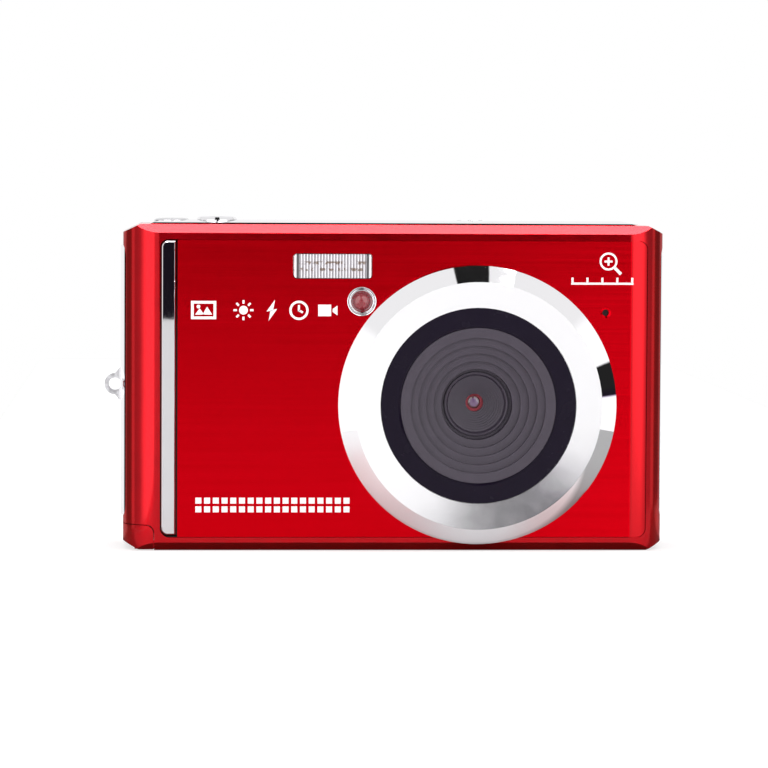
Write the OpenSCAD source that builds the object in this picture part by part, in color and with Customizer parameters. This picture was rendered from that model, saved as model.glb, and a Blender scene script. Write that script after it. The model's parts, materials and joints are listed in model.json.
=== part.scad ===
// Compact digital camera: a red front and rear shell round a chrome band, a fixed lens in a chrome
// bezel, a flash, a rear screen with its keys, and a battery door with a slide-and-swing hinge.
// The origin is the mouth of the tripod socket in the base. +X is to the right seen from the front,
// the lens faces -Y and +Z is up. Every length is in millimetres.

/* [Body] */
// Width of the red shells, without the proud side pads
shell_w = 90.5; // [89:0.5:93]
// Height of the red shells, without the proud top pad
shell_h = 54.3; // [54:0.1:56]
// Depth of the body from the front face to the rear face
shell_d = 20; // [20:0.1:21]
// Wall of the moulded shells
wall = 1.4; // [1.2:0.1:1.5]
// Plan radius of the front flanks
front_flank_r = 6; // [5:0.5:7]
// Plan radius of the rear corners
rear_flank_r = 3.5; // [3:0.5:4]
// Width of the bevels at the corners, seen from the front
corner_w = 2.9; // [2:0.1:4]
// Height of the bevels all round the front and rear faces
bevel_h = 1.4; // [1:0.1:2]

/* [Lens] */
// Lens axis, distance to the right of the tripod socket
lens_x = 13.7; // [12:0.1:15]
// Lens axis, height above the base
lens_z = 24.45; // [24:0.05:26]
// Outer radius of the chrome bezel
bezel_r = 23.2; // [22:0.1:23.4]
// How far the bezel stands out of the front panel
bezel_out = 3.7; // [3:0.1:5]

/* [Controls] */
// Travel of the shutter button
shutter_travel = 0.8; // [0.5:0.1:0.8]
// Radius of the shutter button
shutter_r = 3.5; // [3:0.1:3.5]
// Radius of the power button
power_r = 3; // [2.5:0.1:3]
// Radius of the four round rear keys
key_r = 2.9; // [2.5:0.1:3]
// Outer radius of the four-way pad
nav_r = 8.4; // [8:0.1:8.8]

/* [Battery door] */
// How far the door slides out before it swings
door_slide = 2.8; // [2:0.1:3]
// Width of the corner cap, seen from the front
cap_w = 5.15; // [4.8:0.05:5.4]
// Height of the corner cap
cap_h = 4.2; // [4:0.1:4.6]

/* [Screen] */
// Width of the screen window
window_w = 56; // [54:0.5:56]
// Height of the screen window
window_h = 41.8; // [40:0.2:42]

/* [Hidden] */
$fn = 96;

far = 60;                       // longer than any half of the body, for cutting blocks
gap = 0.12;                     // seam between neighbouring outer pieces
half_w = shell_w / 2;
half_d = shell_d / 2;
bevel_d = 1.5;                  // depth of the face bevels, seen from the side
inner_front = half_d - wall;    // distance of the inner faces from the mid plane
base_inner = wall;              // height of the inside of the base wall

// Chrome band between the shells, with its proud pads
band_half = 3.5;                // half of the band's depth between the shells
band_foot = cap_h + 2 * gap;    // the band's legs end above the door's cap
pad_low = band_foot + 1;
band_wall = 1.35;
pad_out = 0.5;                  // how far the side pads stand proud
pad_front = 6.2;                // front edge of a side pad
pad_rear = 4.5;                 // rear edge of a side pad
pad_top = 50.7;
pad_corner = 2;
pad_crown_r = 17.3;             // plan radius of a side pad's crown
pad_inner = half_w - band_wall;
top_pad_half = 5;               // half of the top pad's depth
top_pad_z = shell_h + 0.7;
top_pad_crown_r = 21.1;
side_slot_x = pad_inner + 0.3;  // floors of the slots along the front edges of the side pads
side_slot_y = 1.2 - pad_front;
top_slot_y = 0.9 - top_pad_half;
top_slot_h = 0.22;
lug_x = -half_w - pad_out - 0.9;
lug_z = 27.3;
lug_r = 1.8;
lug_hole_r = 1;
lug_half = 1.1;

// Panel and strip set into the front face
strip_left = -38.85;
strip_right = -36.45;
strip_low = 2.65;
strip_high = 51.6;
strip_corner = 1.1;
strip_bevel = 0.25;
strip_proud = 0.15;
strip_slot = 0.3;               // dark slot between the strip and its seat
panel_left = -36.15;
panel_right = 42.1;
panel_low = 2.35;
panel_high = 51.7;
panel_corner = 1.4;
panel_t = 0.5;
panel_proud = 0.1;
cover_hole_r = 17.05;

// Flash, lamp and microphone on the front
flash_x = -10.45;
flash_z = 47.45;
flash_w = 12.9;
flash_h = 3.95;
lamp_x = -5.6;
lamp_z = 41.6;
lamp_r = 2.4;
lamp_bead = 1.98;
lamp_glass_r = 1.42;
mic_x = 35.1;
mic_z = 39.85;
mic_hole_r = 0.55;
speaker_x = 13;
speaker_y = -0.4;
speaker_r = 3.4;
capacitor_x = 37;
capacitor_y = -3.6;

// Buttons in the top pad
shutter_x = -29.6;
power_x = -37.1;
power_travel = 0.5;
shutter_top = 55.55;
power_top = 55.2;
button_flange_low = 51.8;
button_flange_high = 52.6;
top_board_low = 48.4;
top_board_high = 49.2;
switch_h = 0.75;
switch_high = top_board_high + switch_h;

// Keys in the rear cover
keys_x = -30;
nav_z = 23;
nav_hole_r = nav_r + 0.3;
ok_r = 3.7;
key_dx = 7.6;
upper_keys_z = 37.6;
lower_keys_z = 9.4;
key_proud = 0.55;
zoom_z = 47.2;
zoom_half_w = 8.2;
zoom_half_h = 2.1;
zoom_axis_y = 7.9;
key_travel = 0.35;
key_flange = [7.85, 8.45];
nav_flange = [7.5, 8.1];
gimbal_y = 6.6;                 // tilt axes of the four-way pad
gimbal_pin_r = 0.28;
nav_stem = 6.6;                 // distance of the pad's stems from its centre
key_board_low = 4.6;
key_board_high = 5.4;
dome_h = 0.4;
key_tip = key_board_high + dome_h + key_travel + 0.05;  // end of a key's stem, above its dome
led_x = -18.4;
led_r = 0.8;

// Screen
window_left = -15.4;
window_low = 6.3;
window_t = 0.8;
active_w = 49;
active_h = 36.8;
ribbon_x = [8, 20];

// Battery and its door
battery_w = 31;
battery_t = 6;
battery_z = 3;
battery_h = 40;
battery_left = -39.7;
battery_front = -7.5;
bay_gap = 0.25;
bay_wall = 0.8;
bay_top = 44.8;
door_half = 7.6;                // half depth of the door's plate in the base
door_floor = gap;               // the door sits this far above the base plane
hinge_x = -7.6;
hinge_z = 1.3;
hinge_r = 1.14;
pin_r = 0.6;
cap_corner = 1.3;
cap_edge = cap_w - half_w;      // X of the cap's vertical seam

// Chassis
plate_x = [-15.6, 42.6];        // plate behind the screen
plate_y = [4.4, 5.2];
plate_top = 50;
wall_front = -5;                // front edge of the right-hand wall
floor_z = [2.6, 3.4];
frame_right = 43.6;             // right end of the floor and of the rail
rail_front = -3.2;
rail_z = [51.4, 52.6];
boss_r = 1.8;                   // bosses that the case screws bite

// Lens unit
barrel_r = 5.6;
barrel_base = 7;
element_r = 2.25;
lens_front_y = -3.3;
filter_half = 4.4;
filter_y = [1.2, 1.45];
sensor_half = 4;
sensor_y = [1.5, 2.2];
carrier_half = 8;               // board that carries the sensor
carrier_t = 0.7;

// Boards and the tripod socket
board_front = 3.2;
board_back = 4.2;
board_x = [-41, 42];
board_low = 8.7;
board_step = 46;                // the board is full width up to here
board_top = 50.8;
card_x = [-39.5, -12.5];
card_z = [4.4, 31];
socket_r = 4.4;
socket_bore_r = 3.2;
socket_bore_l = 5.5;
bottom_half = 6.2;
bottom_left = hinge_x + hinge_r + 0.16;
bottom_right = 41.4;
bottom_t = 1.6;
screw_head_r = 1.2;
screw_head_h = 0.8;
screw_r = 0.7;
side_screws = [[-1, 11.5], [-1, 45], [1, 26.5], [1, 45]];
base_screws_x = [13, 37];
usb_z = 15;
usb_y = 1.85;

// A box from its lowest to its highest corner.
module block(x, y, z) {
    translate([x[0], y[0], z[0]])
        cube([x[1] - x[0], y[1] - y[0], z[1] - z[0]]);
}

// A rod along Y at (x, z), from y[0] to y[1].
module rod_y(x, z, r, y) {
    translate([x, y[1], z])
        rotate([90, 0, 0])
            cylinder(r = r, h = y[1] - y[0]);
}

// A rod along X at (y, z), from x[0] to x[1].
module rod_x(y, z, r, x) {
    translate([x[0], y, z])
        rotate([0, 90, 0])
            cylinder(r = r, h = x[1] - x[0]);
}

// A rod along Z at (x, y), from z[0] to z[1].
module rod_z(x, y, r, z) {
    translate([x, y, z[0]])
        cylinder(r = r, h = z[1] - z[0]);
}

// A profile drawn as [radius, distance in front of the mid plane], turned about the Y axis at (x, z).
module lathe_y(x, z) {
    translate([x, 0, z])
        rotate([90, 0, 0])
            rotate_extrude()
                children();
}

// The same, with the second number counted behind the mid plane.
module lathe_back(x, z) {
    translate([x, 0, z])
        rotate([-90, 0, 0])
            rotate_extrude()
                children();
}

// A drawing in X and Z, extruded along Y from y[0] to y[1].
module extrude_y(y) {
    translate([0, y[1], 0])
        rotate([90, 0, 0])
            linear_extrude(y[1] - y[0])
                children();
}

// A drawing in Y and Z, extruded along X from x[0] to x[1].
module extrude_x(x) {
    translate([x[0], 0, 0])
        rotate([90, 0, 90])
            linear_extrude(x[1] - x[0])
                children();
}

// A rectangle from low to high with round corners, built from squares and circles.
module round_rect(low, high, r) {
    translate([low[0] + r, low[1]])
        square([high[0] - low[0] - 2 * r, high[1] - low[1]]);
    translate([low[0], low[1] + r])
        square([high[0] - low[0], high[1] - low[1] - 2 * r]);
    for (x = [low[0] + r, high[0] - r], y = [low[1] + r, high[1] - r])
        translate([x, y])
            circle(r);
}

// Points of a bevelled rectangle, drawn in by i. The bevel is bw wide and bh high.
function bevelled(low, high, bw, bh, i) =
    let (
        slope = sqrt(bw * bw + bh * bh),
        x0 = low[0] + i,
        x1 = high[0] - i,
        y0 = low[1] + i,
        y1 = high[1] - i,
        dx = bw - i + i * (slope - bw) / bh,
        dy = bh - i + i * (slope - bh) / bw
    )
    [
        [x0 + dx, y0], [x1 - dx, y0], [x1, y0 + dy], [x1, y1 - dy],
        [x1 - dx, y1], [x0 + dx, y1], [x0, y1 - dy], [x0, y0 + dy]
    ];

// The body's plan, drawn in by i: larger corners at the front than at the rear.
module plan(i) {
    front_x = half_w - front_flank_r;
    rear_x = half_w - rear_flank_r;
    front_y = front_flank_r - half_d;
    rear_y = half_d - rear_flank_r;
    translate([-front_x, i - half_d])
        square([2 * front_x, half_d - i]);
    translate([-rear_x, -1])
        square([2 * rear_x, half_d - i + 1]);
    translate([i - half_w, front_y])
        square([shell_w - 2 * i, rear_y - front_y]);
    for (side = [-1, 1]) {
        translate([side * front_x, front_y])
            circle(front_flank_r - i);
        translate([side * rear_x, rear_y])
            circle(rear_flank_r - i);
    }
}

// The body's outline from the front, drawn in by i.
module outline(i) {
    polygon(bevelled([-half_w, 0], [half_w, shell_h], corner_w, bevel_h, i));
}

// The solid shape of the closed body, drawn in by i.
module envelope(i) {
    intersection() {
        linear_extrude(shell_h)
            plan(i);
        extrude_y([-far, far])
            outline(i);
        extrude_x([-far, far])
            polygon(bevelled([-half_d, 0], [half_d, shell_h], bevel_d, bevel_h, i));
    }
}

module shell_wall() {
    difference() {
        envelope(0);
        envelope(wall);
    }
}

// One shell reaches the band, and below the band's legs it reaches the mid plane.
module shell_side(side) {
    y_band = side * (band_half + gap);
    y_mid = side * gap / 2;
    block([-far, far], [min(y_band, side * far), max(y_band, side * far)], [-1, far]);
    block([-far, far], [min(y_mid, side * far), max(y_mid, side * far)], [-1, band_foot - gap]);
}

// Front view of a side pad's or the top pad's seat, grown by g.
module side_pad_shape(g) {
    round_rect([-pad_front - g, pad_low - g], [pad_rear + g, pad_top + g], pad_corner + g);
}

module side_pad(side, g, outer_r) {
    center_x = side * (half_w + pad_out - pad_crown_r);
    intersection() {
        extrude_x(side > 0 ? [pad_inner - g, far] : [-far, g - pad_inner])
            side_pad_shape(g);
        rod_z(center_x, 0, outer_r, [0, far]);
    }
}

module top_pad_shape(g) {
    polygon([
        [-41.8 - g, shell_h - band_wall - g], [-41.8 - g, shell_h - 0.3], [-38.6, top_pad_z + g],
        [38.4, top_pad_z + g], [42 + g, shell_h - 0.3], [42 + g, shell_h - band_wall - g]
    ]);
}

// The battery door's corner cap as seen from the front, grown by g.
module cap_shape(g) {
    edge = cap_edge + g;
    top = cap_h + g;
    r = cap_corner;
    translate([-far, -1])
        square([far + edge, top + 1 - r]);
    translate([-far, -1])
        square([far + edge - r, top + 1]);
    translate([edge - r, top - r])
        circle(r);
}

// The space that the whole door takes in the shells, grown by g.
module door_zone(g) {
    extrude_y([-far, far])
        cap_shape(g);
    block([cap_edge - 1, bottom_left], [-door_half - g, door_half + g], [-1, base_inner + 0.2 + g]);
}

// Front view of the flash window, grown by g.
module flash_shape(g) {
    half = [flash_w / 2 + g, flash_h / 2 + g];
    round_rect([flash_x, flash_z] - half, [flash_x, flash_z] + half, 0.5 + g);
}

module front_cover() {
    color([0.72, 0.02, 0.04])
    difference() {
        intersection() {
            shell_wall();
            shell_side(-1);
        }
        for (side = [-1, 1])
            side_pad(side, gap, far);
        extrude_y([-top_pad_half - gap, top_pad_half + gap])
            top_pad_shape(gap);
        door_zone(gap);
        block([bottom_left, bottom_right + gap], [-bottom_half - gap, far], [-1, base_inner + 1]);
        // Recess for the strip and the panel
        difference() {
            extrude_y([-far, 0])
                round_rect([strip_left - gap, panel_low - gap], [panel_right + gap, panel_high + gap],
                           panel_corner + gap);
            linear_extrude(shell_h)
                plan(panel_t);
        }
        // Slot round the strip, a little deeper than its seat
        extrude_y([-far, -inner_front - 0.2])
            difference() {
                strip_shape(-0.2);
                strip_shape(strip_slot);
            }
        extrude_y([-far, -inner_front - 0.2])
            translate([strip_right - 0.1, strip_low])
                square([panel_left - strip_right + 0.1, strip_high - strip_low]);
        rod_y(lens_x, lens_z, cover_hole_r, [-far, 0]);
        extrude_y([-far, 0])
            flash_shape(gap);
        rod_y(lamp_x, lamp_z, lamp_r - 0.35, [-far, 0]);
        rod_y(mic_x, mic_z, mic_hole_r, [-far, 0]);
    }
}

module front_panel() {
    color([0.66, 0.02, 0.03])
    difference() {
        intersection() {
            linear_extrude(shell_h)
                difference() {
                    plan(-panel_proud);
                    plan(panel_t);
                }
            extrude_y([-far, -1])
                union() {
                    round_rect([panel_left, panel_low], [panel_right, panel_high], panel_corner);
                    translate([panel_left, panel_low])
                        square([4, panel_high - panel_low]);
                }
        }
        rod_y(lens_x, lens_z, cover_hole_r, [-far, 0]);
        extrude_y([-far, 0])
            flash_shape(gap);
        rod_y(lamp_x, lamp_z, lamp_r + 0.05, [-far, 0]);
        rod_y(mic_x, mic_z, mic_hole_r, [-far, 0]);
        // Countersunk rim of the microphone hole
        lathe_y(mic_x, mic_z)
            polygon([[0, 9.9], [mic_hole_r, 9.9], [mic_hole_r + 0.35, half_d + panel_proud + 0.01],
                     [0, half_d + panel_proud + 0.01]]);
    }
}

// Front view of the strip, drawn in by i: round corners on the left, sharp ones on the right.
module strip_shape(i) {
    low = [strip_left + i, strip_low + i];
    high = [strip_right - i, strip_high - i];
    round_rect(low, high, strip_corner - i, $fn = 32);
    translate([low[0] + strip_corner - i, low[1]])
        square([high[0] - low[0] - strip_corner + i, high[1] - low[1]]);
}

module accent_strip() {
    color([0.82, 0.82, 0.84])
    hull() {
        extrude_y([-half_d - strip_proud, panel_t - half_d])
            strip_shape(strip_bevel);
        extrude_y([strip_bevel - half_d - strip_proud, panel_t - half_d])
            strip_shape(0);
    }
}

// The strap eyelet: a ring with a fairing into the left side pad.
module strap_lug() {
    difference() {
        extrude_y([-lug_half, lug_half])
            union() {
                translate([lug_x, lug_z])
                    circle(lug_r);
                polygon([
                    [1 - half_w, lug_z + 3.4], [-half_w - 0.3, lug_z + 3.2], [lug_x, lug_z + lug_r],
                    [lug_x - 1, lug_z], [lug_x, lug_z - lug_r], [-half_w - 0.3, lug_z - 3.2],
                    [1 - half_w, lug_z - 3.4]
                ]);
            }
        rod_y(lug_x, lug_z, lug_hole_r, [-far, far]);
    }
}

module side_band() {
    color([0.85, 0.85, 0.87])
    difference() {
        union() {
            intersection() {
                difference() {
                    extrude_y([-band_half, band_half])
                        outline(0);
                    extrude_y([-far, far])
                        outline(band_wall);
                }
                block([-far, far], [-far, far], [band_foot, far]);
            }
            for (side = [-1, 1])
                side_pad(side, 0, pad_crown_r);
            intersection() {
                extrude_y([-top_pad_half, top_pad_half])
                    top_pad_shape(0);
                rod_x(0, top_pad_z - top_pad_crown_r, top_pad_crown_r, [-far, far]);
            }
            strap_lug();
        }
        rod_z(shutter_x, 0, shutter_r + 0.15, [shell_h - 3, far]);
        rod_z(power_x, 0, power_r + 0.15, [shell_h - 3, far]);
        // Speaker holes
        for (at = [[0, 0], [1.8, 0], [-1.8, 0], [0, 1.8], [0, -1.8]])
            rod_z(speaker_x + at[0], speaker_y + at[1], 0.4, [shell_h - 3, far]);
        // Mouth of the USB socket
        extrude_x([pad_inner - 1, far])
            round_rect([usb_y - 1.5, usb_z - 4], [usb_y + 1.5, usb_z + 4], 0.6);
        for (s = side_screws) {
            head_x = half_w + pad_out - screw_head_h - 0.1;
            rod_x(0, s[1], screw_head_r + 0.05, s[0] > 0 ? [head_x, far] : [-far, -head_x]);
            rod_x(0, s[1], screw_r + 0.05, s[0] > 0 ? [0, far] : [-far, 0]);
        }
        // Slots along the front edges of the pads
        for (x = [[-far, -side_slot_x], [side_slot_x, far]])
            block(x, [-far, side_slot_y], [0, far]);
        block([-far, far], [-far, top_slot_y], [shell_h - 0.05, shell_h + top_slot_h]);
    }
}

// Bosses inside the rear cover that hold the ends of the zoom rocker's pin.
module zoom_bearings() {
    for (side = [-1, 1])
        difference() {
            z = [zoom_z + side * (zoom_half_h + 0.35), zoom_z + side * (zoom_half_h + 1.5)];
            block([keys_x - 1.4, keys_x + 1.4], [zoom_axis_y - 1.2, inner_front + 0.2], [min(z), max(z)]);
            rod_z(keys_x, zoom_axis_y, pin_r + 0.05, [zoom_z - 6, zoom_z + 6]);
        }
}

// Bearings inside the rear cover for the stub pins of the pad's gimbal ring.
module pad_bearings() {
    for (x = [keys_x - 10.8, keys_x + 9.75])
        difference() {
            block([x, x + 1.05], [gimbal_y - 0.7, inner_front + 0.2], [nav_z - 0.9, nav_z + 0.9]);
            rod_x(gimbal_y, nav_z, gimbal_pin_r + 0.04, [x - 1, x + 2]);
        }
}

module rear_cover() {
    color([0.72, 0.02, 0.04])
    difference() {
        union() {
            intersection() {
                shell_wall();
                shell_side(1);
            }
            zoom_bearings();
            pad_bearings();
        }
        for (side = [-1, 1])
            side_pad(side, gap, far);
        extrude_y([-top_pad_half - gap, top_pad_half + gap])
            top_pad_shape(gap);
        door_zone(gap);
        block([bottom_left, bottom_right + gap], [-far, bottom_half + gap], [-1, base_inner + 1]);
        // Recess and opening of the screen
        extrude_y([half_d - window_t - 0.05, far])
            round_rect([window_left - gap, window_low - gap],
                       [window_left + window_w + gap, window_low + window_h + gap], 1.5 + gap);
        block([window_left + (window_w - active_w) / 2 - 0.6, window_left + (window_w + active_w) / 2 + 0.6],
              [0, far],
              [window_low + (window_h - active_h) / 2 - 0.6, window_low + (window_h + active_h) / 2 + 0.6]);
        rod_y(keys_x, nav_z, nav_hole_r, [0, far]);
        for (x = [-key_dx, key_dx], z = [upper_keys_z, lower_keys_z])
            rod_y(keys_x + x, z, key_r + 0.15, [0, far]);
        extrude_y([half_d - 2, far])
            round_rect([keys_x - zoom_half_w - 0.25, zoom_z - zoom_half_h - 0.2],
                       [keys_x + zoom_half_w + 0.25, zoom_z + zoom_half_h + 0.2], 1.9);
        rod_y(led_x, zoom_z, led_r, [0, far]);
    }
}

module bottom_cover() {
    color([0.05, 0.05, 0.055])
    difference() {
        linear_extrude(bottom_t)
            round_rect([bottom_left, -bottom_half], [bottom_right, bottom_half], 1);
        rod_z(0, 0, socket_r + 0.05, [-1, far]);
        for (x = base_screws_x) {
            rod_z(x, 0, screw_head_r + 0.05, [-1, screw_head_h + 0.07]);
            rod_z(x, 0, screw_r + 0.05, [-1, far]);
        }
    }
}

// Walls round the battery, open at the bottom.
module battery_bay() {
    x = [battery_left - bay_gap, battery_left + battery_w + bay_gap];
    y = [battery_front - bay_gap, battery_front + battery_t + bay_gap];
    difference() {
        block([x[0] - bay_wall, x[1] + bay_wall], [y[0] - bay_wall, y[1] + bay_wall], [2.7, bay_top]);
        block(x, y, [0, bay_top - bay_wall]);
    }
}

module chassis() {
    color([0.1, 0.1, 0.11])
    difference() {
        intersection() {
            union() {
                battery_bay();
                // Plate behind the screen
                block(plate_x, plate_y, [floor_z[1], rail_z[1] - 0.6]);
                // Right-hand wall
                block([plate_x[1] - 0.2, pad_inner - 0.1], [wall_front, plate_y[1]],
                      [band_foot + 0.2, plate_top]);
                // Floor, and a rib along its rear edge
                block([-8.4, frame_right], [-8.4, plate_y[1]], floor_z);
                block([-9, frame_right], plate_y, [floor_z[0], 6.6]);
                // Rail under the top pad
                block([-22, frame_right], [rail_front, plate_y[1]], rail_z);
                rod_z(0, 0, socket_r + 0.9, [floor_z[0], 8.4]);
                for (x = base_screws_x)
                    rod_z(x, 0, boss_r, [bottom_t + 0.05, 6]);
                for (s = side_screws)
                    rod_x(0, s[1], boss_r,
                          s[0] > 0 ? [39.5, pad_inner - 0.1] : [0.1 - pad_inner, -40.2]);
                // Post from the battery bay up to the rail
                block([-24, -17.5], [-1.2, board_back], [bay_top - bay_wall, rail_z[1]]);
            }
            envelope(wall + 0.1);
        }
        rod_z(0, 0, socket_r + 0.05, [-1, 7.1]);
        for (x = base_screws_x)
            rod_z(x, 0, screw_r + 0.03, [0, 7]);
        for (s = side_screws)
            rod_x(0, s[1], screw_r + 0.03, s[0] > 0 ? [39, far] : [-far, -39]);
        rod_z(speaker_x, speaker_y, speaker_r + 0.2, [48, far]);
        // Slot for the screen's ribbon
        block([ribbon_x[0] - 0.5, ribbon_x[1] + 0.5], [4, 5.5], [4.6, 5.6]);
        block([38, 50], [usb_y - 1.6, usb_y + 1.6], [usb_z - 4, usb_z + 4]);
        // Room for the boards
        block([board_x[0] - 1, board_x[1] + 0.3], [board_front - 0.1, board_back + 0.1],
              [board_low - 0.2, board_top + 0.2]);
        rod_z(capacitor_x, capacitor_y, 4.2, [7, 37]);
    }
}

module lens_bezel() {
    face = half_d + panel_proud + bezel_out;
    root = half_d + panel_proud;
    color([0.86, 0.86, 0.88])
    lathe_y(lens_x, lens_z)
        polygon([
            [bezel_r, root], [bezel_r, root + 1.1], [20.55, face], [16.3, face - 0.35], [16.3, 12.2],
            [15.2, 12.2], [15.2, 7.6], [cover_hole_r - 0.05, 7.6], [cover_hole_r - 0.05, root]
        ]);
}

module lens_trim_ring() {
    color([0.03, 0.03, 0.04])
    lathe_y(lens_x, lens_z)
        polygon([[16.22, 12.2], [16.22, 13.2], [13.3, 13.2], [12.95, 12.95], [12.95, 12.2]]);
}

// Steps from a point [radius, height] to another, as a staircase of n equal treads that fall a little.
function stairs(from, to, n) = [
    for (k = [0 : n - 1], half = [0, 1])
        let (dr = (to[0] - from[0]) / n, dh = (to[1] - from[1]) / n)
        [from[0] + dr * (k + half), from[1] + dh * (k + 0.15 * half)]
];

module lens_hood() {
    color([0.2, 0.19, 0.21])
    lathe_y(lens_x, lens_z)
        polygon(concat(
            [[12.9, 12.2], [12.9, 12.95]],
            stairs([12.6, 12.95], [5.95, 8.6], 5),
            // A narrow moat and the lip inside it
            [[5.85, 7.7], [5.45, 7.7], [5.35, 8.1], [5.2, 8.15], [5, 8.05], [4.75, 7.4]],
            stairs([4.7, 7.2], [1.5, 4.1], 9),
            [[1.5, 3.4], [7.4, 3.4], [7.4, 8.4], [13.4, 10.6], [15.15, 11.2], [15.15, 12.2]]
        ));
}

// A square block centred on the lens axis, given by half its side.
module square_block(half, y) {
    block([lens_x - half, lens_x + half], y, [lens_z - half, lens_z + half]);
}

module lens_barrel() {
    color([0.06, 0.06, 0.065])
    difference() {
        union() {
            rod_y(lens_x, lens_z, barrel_r, [lens_front_y - 0.05, 0.8]);
            square_block(barrel_base, [0.6, sensor_y[1]]);
        }
        rod_y(lens_x, lens_z, element_r + 0.05, [-far, filter_y[0]]);
        square_block(filter_half + 0.2, [filter_y[0], far]);
    }
}

// A convex glass element that bulges to the front.
module glass_element(y_back, y_front, r, curve_r) {
    intersection() {
        rod_y(lens_x, lens_z, r, [y_front, y_back]);
        translate([lens_x, y_front + curve_r, lens_z])
            sphere(curve_r);
    }
}

module front_lens() {
    color([0.75, 0.35, 0.45, 0.5])
    glass_element(-1.9, lens_front_y, element_r, 4);
}

module rear_lenses() {
    color([0.7, 0.75, 0.85, 0.5]) {
        glass_element(-0.5, -1.3, element_r, 6);
        rod_y(lens_x, lens_z, element_r, [-0.3, 0.4]);
    }
}

module aperture_stop() {
    color([0.03, 0.03, 0.03])
    difference() {
        rod_y(lens_x, lens_z, element_r + 0.03, [-1.8, -1.5]);
        rod_y(lens_x, lens_z, 0.6, [-3, 0]);
    }
}

module infrared_filter() {
    color([0.5, 0.75, 0.8, 0.5])
    square_block(filter_half, filter_y);
}

module image_sensor() {
    color([0.15, 0.2, 0.25])
    square_block(sensor_half, sensor_y);
}

module sensor_board() {
    color([0.05, 0.3, 0.12])
    square_block(carrier_half, [sensor_y[1], sensor_y[1] + carrier_t]);
}

module flash_window() {
    color([0.9, 0.92, 0.95, 0.6])
    union() {
        extrude_y([-half_d - 0.25, 0.1 - inner_front])
            flash_shape(0);
        extrude_y([-inner_front, 0.7 - inner_front])
            flash_shape(0.7);
    }
}

// A bright trough that opens to the front, with the tube's hole along it.
module flash_reflector() {
    y = [-inner_front + 0.7, -3.6];
    color([0.9, 0.9, 0.92])
    difference() {
        block([flash_x - 6.8, flash_x + 6.8], y, [flash_z - 2.4, flash_z + 2.4]);
        intersection() {
            rod_x(y[0] - 0.2, flash_z, 3.6, [flash_x - 6.2, flash_x + 6.2]);
            block([flash_x - 6.2, flash_x + 6.2], [-far, y[1]], [flash_z - 1.9, flash_z + 1.9]);
        }
    }
}

module flash_tube() {
    color([0.85, 0.9, 0.95, 0.6])
    rod_x(-5.6, flash_z, 0.8, [flash_x - 6.2, flash_x + 6.2]);
}

module flash_capacitor() {
    color([0.1, 0.1, 0.14])
    union() {
        rod_z(capacitor_x, capacitor_y, 4, [8, 35.6]);
        rod_z(capacitor_x, capacitor_y, 3.7, [35.6, 36.2]);
    }
}

module lamp_bezel() {
    color([0.75, 0.75, 0.77])
    lathe_y(lamp_x, lamp_z)
        polygon(concat(
            [[lamp_r, half_d - panel_t], [lamp_r, half_d - 0.05], [lamp_r - 0.17, half_d - 0.1]],
            // Round bead
            [for (a = [0 : 20 : 180]) [lamp_bead, half_d + 0.05] + 0.22 * [cos(a), sin(a)]],
            [[lamp_bead - 0.25, half_d - 0.2], [lamp_glass_r + 0.03, half_d - 0.6],
             [lamp_glass_r + 0.03, 8], [lamp_r - 0.45, 8], [lamp_r - 0.45, half_d - panel_t]]
        ));
}

module lamp_lens() {
    color([0.75, 0.05, 0.08, 0.7])
    intersection() {
        rod_y(lamp_x, lamp_z, lamp_glass_r, [-9.45, -8]);
        translate([lamp_x, 2.8 - 9.45, lamp_z])
            sphere(2.8);
    }
}

module lamp_led() {
    color([0.9, 0.5, 0.4])
    union() {
        rod_y(lamp_x, lamp_z, 1.2, [-7.9, -6.5]);
        rod_y(lamp_x, lamp_z, 1.5, [-6.5, -6]);
    }
}

module microphone() {
    color([0.7, 0.7, 0.72])
    rod_y(mic_x, mic_z, 2, [-inner_front, -7.1]);
}

module speaker() {
    color([0.12, 0.12, 0.13])
    union() {
        rod_z(speaker_x, speaker_y, speaker_r, [49.6, 51.8]);
        rod_z(speaker_x, speaker_y, speaker_r - 1, [48.8, 49.6]);
    }
}

module main_board() {
    color([0.04, 0.28, 0.12])
    union() {
        block(board_x, [board_front, board_back], [board_low, board_step]);
        block([-15, board_x[1]], [board_front, board_back], [board_step, board_top]);
    }
}

module board_chips() {
    color([0.07, 0.07, 0.075]) {
        block([24, 33], [2.1, board_front], [40.5, 49]);
        block([-6, 3], [2.2, board_front], [34, 43]);
        block([26, 31], [2.3, board_front], [11, 17]);
        block([-7, -3], [2.3, board_front], [14, 22]);
        rod_y(24.6, 22, 1.8, [1.6, board_front]);
    }
}

module usb_socket() {
    color([0.8, 0.8, 0.82])
    difference() {
        block([38.6, pad_inner + 0.9], [usb_y - 1.35, usb_y + 1.35], [usb_z - 3.8, usb_z + 3.8]);
        block([39.4, far], [usb_y - 1, usb_y + 1], [usb_z - 3.4, usb_z + 3.4]);
    }
}

module card_slot() {
    color([0.75, 0.75, 0.77])
    difference() {
        block(card_x, [0.4, board_front], card_z);
        block([card_x[0] + 1.3, card_x[1] - 1.3], [0.7, board_front - 0.3], [0, card_z[1] - 1.4]);
    }
}

module battery() {
    color([0.16, 0.17, 0.2])
    extrude_y([battery_front, battery_front + battery_t])
        round_rect([battery_left, battery_z], [battery_left + battery_w, battery_z + battery_h], 1);
}

module battery_contacts() {
    color([0.85, 0.7, 0.3])
    for (x = [-36, -32.5, -29])
        block([x, x + 1.6], [-5.5, -3.5], [battery_z + battery_h, bay_top - bay_wall]);
}

module lcd_window() {
    color([0.02, 0.02, 0.025])
    extrude_y([half_d - window_t, half_d + 0.02])
        round_rect([window_left, window_low], [window_left + window_w, window_low + window_h], 1.5);
}

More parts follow.
